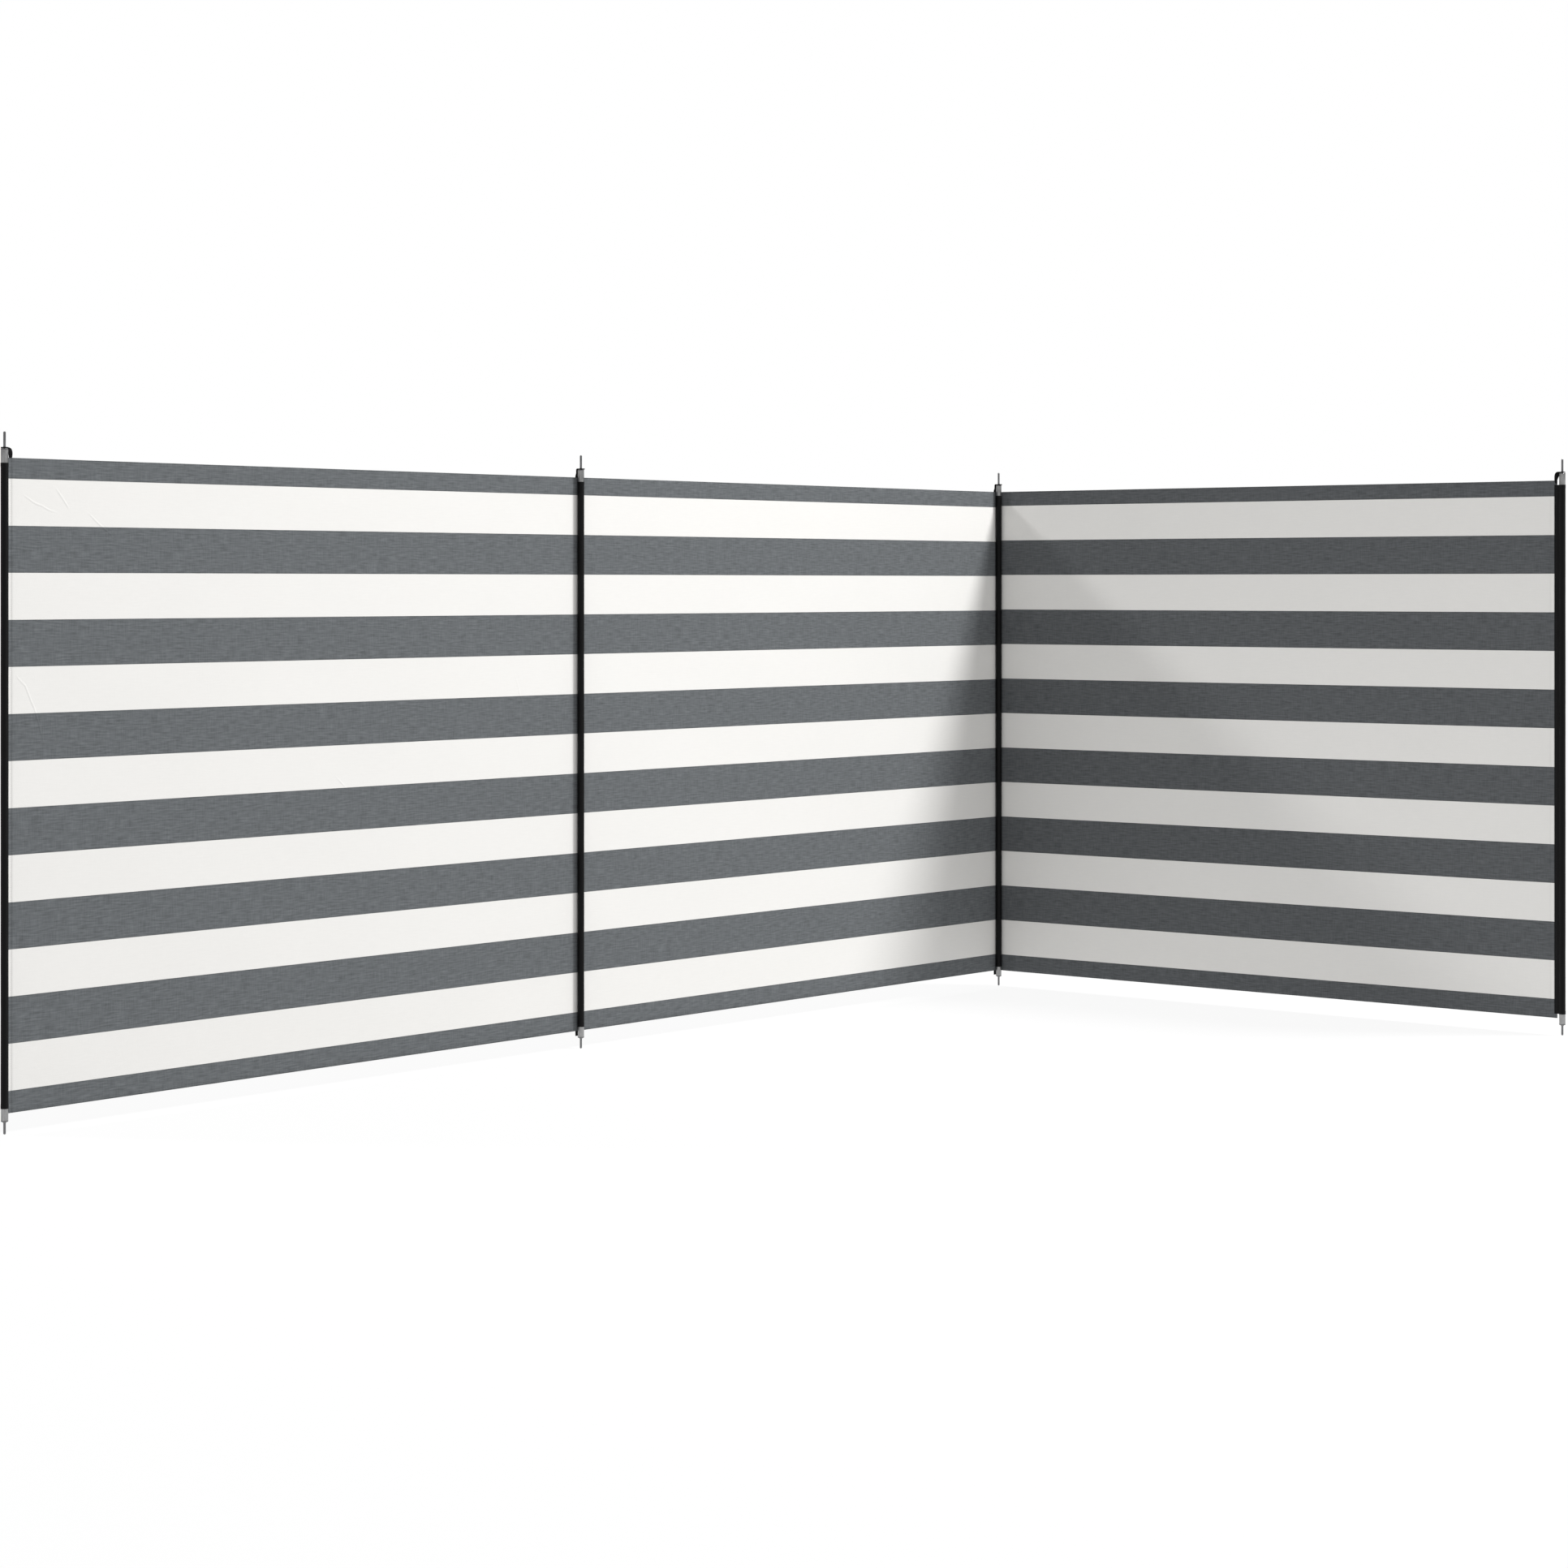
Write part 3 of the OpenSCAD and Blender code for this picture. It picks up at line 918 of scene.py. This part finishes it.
def build_lap_stitching(post, sizes, material):
    """A row of stitches through the lap of an end sleeve, on both faces."""
    turn = post_frame(post)
    sideways = turn.to_3x3() @ Vector((0, 1, 0))
    low = SLEEVE_LOW.z + LAP_SEAM_INSET
    high = SLEEVE_HIGH.z - LAP_SEAM_INSET
    stitches = []
    for depth, side in ((-sizes.cloth_thickness / 2, -1), (CLOTH_GAP + 2.1 * sizes.sleeve_wall, 1)):
        if post == "left_end":
            depth += sizes.seam_depth
        start = turn @ Vector((sizes.seam_place, depth, low))
        end = turn @ Vector((sizes.seam_place, depth, high))
        stitches += stitch_line(start, end, sideways * side, sizes)
    return build_stitching(f"{post}_lap_stitching", stitches, sizes, material)


class WINDBREAK_OT_sleeves(bpy.types.Operator):
    """Make the black sleeves on the four poles"""

    bl_idname = "windbreak.sleeves"
    bl_label = "Sleeves"

    def execute(self, context):
        sizes = context.scene.windbreak_sizes
        cloth = black_cloth(context.scene.windbreak_colours)
        thread = thread_material("sleeve_thread", (0.02, 0.02, 0.021))
        for seed, (post, body) in enumerate(POST_BODIES.items()):
            sleeve = build_sleeve(post, sizes, cloth, seed * 11.3)
            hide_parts(f"{post}_sleeve")
            parts = [sleeve]
            if post in END_POSTS:
                parts.append(build_lap_stitching(post, sizes, thread))
            for part in parts:
                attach(part, body)
        return {"FINISHED"}


# Webbing

BAND_CELL = 0.001
BAND_ROUNDING = 0.28
EYE_RADIUS = 0.0038
EYE_RIM = 1.45
MIDDLE_TIP = 0.008
BOX_INSET = 0.003
BOX_TOP = 0.004
BOX_SIDE = 0.002
TAB_LEAN = 0.0004


def build_band(name, first, second, eye, sizes, material, post):
    """A band of webbing between two edges, each a line of points, with a hole for a pin if asked."""
    first, second = rounded(first), rounded(second)
    middle = [one.lerp(other, 0.5) for one, other in zip(first, second)]
    total = distances(middle)
    rows = round(total[-1] / BAND_CELL)
    columns = round(WEBBING_WIDTH / BAND_CELL)
    bm = bmesh.new()
    bmesh.ops.create_grid(bm, x_segments=columns, y_segments=rows, size=0.5)
    places = {vert: (vert.co.x + 0.5, (vert.co.y + 0.5) * total[-1]) for vert in bm.verts}
    map_weave(bm, lambda vert: ((places[vert][0] - 0.5) * WEBBING_WIDTH, places[vert][1]))
    for vert, (across, distance) in places.items():
        vert.co = point_at(first, total, distance).lerp(point_at(second, total, distance), across)
    if eye:
        cut_eye(bm, eye)
    thicken(bm, sizes.webbing_thickness)
    corners = [edge for edge in bm.edges if edge.calc_face_angle(0.0) > math.radians(60)]
    bmesh.ops.bevel(
        bm, geom=corners, offset=sizes.webbing_thickness * BAND_ROUNDING, segments=2, profile=0.5,
        affect="EDGES", material=-1
    )
    bmesh.ops.transform(bm, matrix=post_frame(post), verts=bm.verts)
    return link_piece(name, bm, material)


def straight_edges(path):
    """The two edges of a band that lies square across a path in the plane of Y and Z."""
    across = Vector((WEBBING_WIDTH / 2, 0, 0))
    return [point - across for point in path], [point + across for point in path]


def cut_eye(bm, radius):
    """Cuts a round hole for the top pin where the band lies on the pole's top."""
    def on_top(point):
        return point.z > POLE_TOP - 0.002

    inside = [
        face for face in bm.faces
        if on_top(face.calc_center_median()) and face.calc_center_median().xy.length < radius
    ]
    bmesh.ops.delete(bm, geom=inside, context="FACES")
    for vert in bm.verts:
        if vert.is_boundary and on_top(vert.co) and vert.co.xy.length < radius * EYE_RIM:
            vert.co.xy = vert.co.xy.normalized() * radius


# Edges of an end strap in millimetres, from the pin to the tip of its tongue. Each place has the outer edge
# and then the inner edge: how far into the bay, how far to the sewn side and how far above the cloth's top
END_STRAP = (
    ((-5.5, 6.5, 21.5), (-5.5, -6.5, 21.5)),
    ((1.0, 6.5, 21.5), (1.0, -6.5, 21.5)),
    ((6.0, 6.2, 21.5), (5.0, -6.5, 21.4)),
    ((13.0, 4.0, 22.0), (7.0, -4.6, 19.6)),
    ((19.0, 2.2, 20.0), (8.2, -2.4, 15.6)),
    ((21.6, 1.5, 14.0), (10.0, -0.4, 10.6)),
    ((21.8, 1.6, 7.0), (12.0, 1.0, 6.0)),
    ((21.4, 2.2, 1.0), (13.6, 2.2, 0.8)),
    ((20.6, 2.3, -3.0), (14.5, 2.3, -3.2)),
    ((18.3, 2.3, -7.2), (15.3, 2.3, -7.4)),
    ((16.8, 2.3, -9.4), (15.9, 2.3, -9.5)),
)


def middle_strap_edges(sizes):
    """Over the top of a middle pole, down its back and behind the cloth."""
    half = sizes.webbing_thickness / 2
    close = TUBE_RADIUS + half + STRAP_GAP
    behind = WEBBING_PLANE + half
    return straight_edges([
        Vector((0, -MIDDLE_TIP, POLE_TOP + half)),
        Vector((0, close * 0.55, POLE_TOP + half)),
        Vector((0, close, POLE_TOP + half)),
        Vector((0, close, POLE_TOP - 0.004)),
        Vector((0, close, POLE_TOP - 0.010)),
        Vector((0, behind, CLOTH_TOP + 0.004)),
        Vector((0, behind, CLOTH_TOP - 0.004)),
        Vector((0, behind, STRAP_BOTTOM)),
    ])


def end_strap_edges():
    """Over the top of an end pole, out in an arch that turns, and down in a tongue on the cloth's side."""
    above = Vector((0, 0, CLOTH_TOP))
    return [[above + Vector(place[side]) / 1000 for place in END_STRAP] for side in (0, 1)]


def build_box_stitching(name, post, low, high, sizes, material):
    """A sewn box with a cross in it, where webbing is held to the back of the cloth."""
    turn = post_frame(post)
    side = WEBBING_WIDTH / 2 - BOX_SIDE
    depth = WEBBING_PLANE + sizes.webbing_thickness
    box = ((-side, low), (side, low), (side, high), (-side, high))
    corners = [turn @ Vector((x, depth, z)) for x, z in box]
    back = turn.to_3x3() @ Vector((0, 1, 0))
    stitches = []
    for first, second in ((0, 1), (1, 2), (2, 3), (3, 0), (0, 2), (1, 3)):
        stitches += stitch_line(corners[first], corners[second], back, sizes)
    return build_stitching(name, stitches, sizes, material)


class WINDBREAK_OT_straps(bpy.types.Operator):
    """Make the webbing straps over the tops of the four poles"""

    bl_idname = "windbreak.straps"
    bl_label = "Straps"

    def execute(self, context):
        sizes = context.scene.windbreak_sizes
        webbing = black_webbing(context.scene.windbreak_colours)
        thread = thread_material("strap_thread", (0.03, 0.03, 0.031))
        for post, body in POST_BODIES.items():
            first, second = end_strap_edges() if post in END_POSTS else middle_strap_edges(sizes)
            strap = build_band(f"{post}_strap_webbing", first, second, EYE_RADIUS, sizes, webbing, post)
            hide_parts(f"{post}_strap")
            parts = [strap]
            if post in MIDDLE_POSTS:
                low, high = STRAP_BOTTOM + BOX_INSET, CLOTH_TOP - BOX_TOP
                name = f"{post}_strap_stitching"
                parts.append(build_box_stitching(name, post, low, high, sizes, thread))
            for part in parts:
                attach(part, body)
        return {"FINISHED"}


class WINDBREAK_OT_tabs(bpy.types.Operator):
    """Make the webbing tabs behind the feet of the two middle poles"""

    bl_idname = "windbreak.tabs"
    bl_label = "Foot Tabs"

    def execute(self, context):
        sizes = context.scene.windbreak_sizes
        webbing = black_webbing(context.scene.windbreak_colours)
        thread = thread_material("tab_thread", (0.03, 0.03, 0.031))
        half = sizes.webbing_thickness / 2
        first, second = straight_edges([
            Vector((0, WEBBING_PLANE + half, TAB_HIGH.z)),
            Vector((0, WEBBING_PLANE + half, CLOTH_BOTTOM)),
            Vector((0, WEBBING_PLANE + half - TAB_LEAN, TAB_LOW.z)),
        ])
        for post in MIDDLE_POSTS:
            tab = build_band(f"{post}_tab_webbing", first, second, None, sizes, webbing, post)
            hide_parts(f"{post}_tab")
            low, high = CLOTH_BOTTOM + BOX_INSET, TAB_HIGH.z - BOX_INSET
            stitching = build_box_stitching(f"{post}_tab_stitching", post, low, high, sizes, thread)
            for part in (tab, stitching):
                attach(part, POST_BODIES[post])
        return {"FINISHED"}


# Poles

class WINDBREAK_OT_poles(bpy.types.Operator):
    """Give the steel tubes and their pins a drawn steel finish"""

    bl_idname = "windbreak.poles"
    bl_label = "Steel Poles"

    def execute(self, context):
        colours = context.scene.windbreak_colours
        finishes = {
            "tube": drawn_steel("steel_tube", colours.tube_steel, 0.36),
            "top_pin": drawn_steel("steel_top_pin", colours.pin_steel, 0.42),
            "foot_pin": drawn_steel("steel_foot_pin", colours.pin_steel, 0.42),
        }
        for post in POST_BODIES:
            for part, finish in finishes.items():
                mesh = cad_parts[f"{post}_{part}"].data
                mesh.materials.clear()
                mesh.materials.append(finish)
        return {"FINISHED"}


# Studio

def add_light(name, kind, travel, energy, **settings):
    """A soft light that shines in a direction."""
    light = bpy.data.lights.new(name, kind)
    light.energy = energy
    for key, value in settings.items():
        setattr(light, key, value)
    lamp = bpy.data.objects.new(name, light)
    lamp.rotation_euler = Vector(travel).to_track_quat("-Z", "Y").to_euler()
    bpy.context.scene.collection.objects.link(lamp)
    return lamp


def set_surroundings(scene, strength):
    """Soft light from all round, in front of a white background."""
    world = bpy.data.worlds.new("studio")
    scene.world = world
    world.use_nodes = True
    tree = world.node_tree
    light = tree.nodes["Background"]
    light.inputs["Color"].default_value = (1, 1, 1, 1)
    light.inputs["Strength"].default_value = strength
    white = add(tree, "Background", {"Color": (1, 1, 1, 1), "Strength": 1.0})
    seen = add(tree, "LightPath").outputs["Is Camera Ray"]
    mix = add(tree, "MixShader", {0: seen, 1: light.outputs[0], 2: white.outputs[0]})
    tree.links.new(mix.outputs[0], tree.nodes["World Output"].inputs["Surface"])


class WINDBREAK_OT_stage(bpy.types.Operator):
    """Set up the pale floor, the soft lights and the camera"""

    bl_idname = "windbreak.stage"
    bl_label = "Studio"

    def execute(self, context):
        scene = context.scene
        stage = scene.windbreak_stage
        bm = bmesh.new()
        bmesh.ops.create_grid(bm, x_segments=1, y_segments=1, size=stage.floor_size / 2)
        bmesh.ops.translate(bm, vec=(0, 0, FOOT_TIP), verts=bm.verts)
        link_piece("studio_floor", bm, floor_material(scene.windbreak_colours, stage.floor_glow))
        key = add_light(
            "key_light", "AREA", stage.key_travel, stage.key_power, shape="DISK", size=stage.key_width
        )
        key.location = POSTS["corner"] - Vector(stage.key_travel).normalized() * stage.key_distance
        key.visible_camera = False
        add_light("fill_light", "SUN", stage.fill_travel, stage.fill_strength, angle=stage.fill_spread)
        set_surroundings(scene, stage.ambient)
        lens = bpy.data.cameras.new("camera")
        lens.lens = stage.lens
        lens.shift_y = stage.horizon_row / stage.image_size - 0.5
        lens.clip_end = stage.floor_size
        camera = bpy.data.objects.new("camera", lens)
        camera.location = stage.camera_place
        camera.rotation_euler = (math.pi / 2, 0, stage.camera_heading)
        scene.collection.objects.link(camera)
        scene.camera = camera
        scene.view_settings.view_transform = "Standard"
        return {"FINISHED"}


class WINDBREAK_PT_sidebar(bpy.types.Panel):
    """Sizes, colours and steps of the windbreak"""

    bl_idname = "WINDBREAK_PT_sidebar"
    bl_label = "Beach Windbreak"
    bl_space_type = "VIEW_3D"
    bl_region_type = "UI"
    bl_category = "Windbreak"

    def draw(self, context):
        for group in [getattr(context.scene, name) for name in GROUPS]:
            column = self.layout.column()
            for name in group.__annotations__:
                column.prop(group, name)
        for step in STEPS:
            self.layout.operator(step.bl_idname)


STEPS = (
    WINDBREAK_OT_stage,
    WINDBREAK_OT_sleeves,
    WINDBREAK_OT_cloth,
    WINDBREAK_OT_straps,
    WINDBREAK_OT_tabs,
    WINDBREAK_OT_poles,
)
GROUPS = {
    "windbreak_sizes": WindbreakSizes,
    "windbreak_colours": WindbreakColours,
    "windbreak_stage": WindbreakStage,
}


def register():
    for name, group in GROUPS.items():
        bpy.utils.register_class(group)
        setattr(bpy.types.Scene, name, PointerProperty(type=group))
    for step in STEPS:
        bpy.utils.register_class(step)
    bpy.utils.register_class(WINDBREAK_PT_sidebar)


def unregister():
    bpy.utils.unregister_class(WINDBREAK_PT_sidebar)
    for step in reversed(STEPS):
        bpy.utils.unregister_class(step)
    for name, group in reversed(GROUPS.items()):
        delattr(bpy.types.Scene, name)
        bpy.utils.unregister_class(group)


def main():
    register()
    bpy.ops.windbreak.stage()
    bpy.ops.windbreak.sleeves()
    bpy.ops.windbreak.cloth()
    bpy.ops.windbreak.straps()
    bpy.ops.windbreak.tabs()
    bpy.ops.windbreak.poles()


if __name__ == "__main__":
    main()
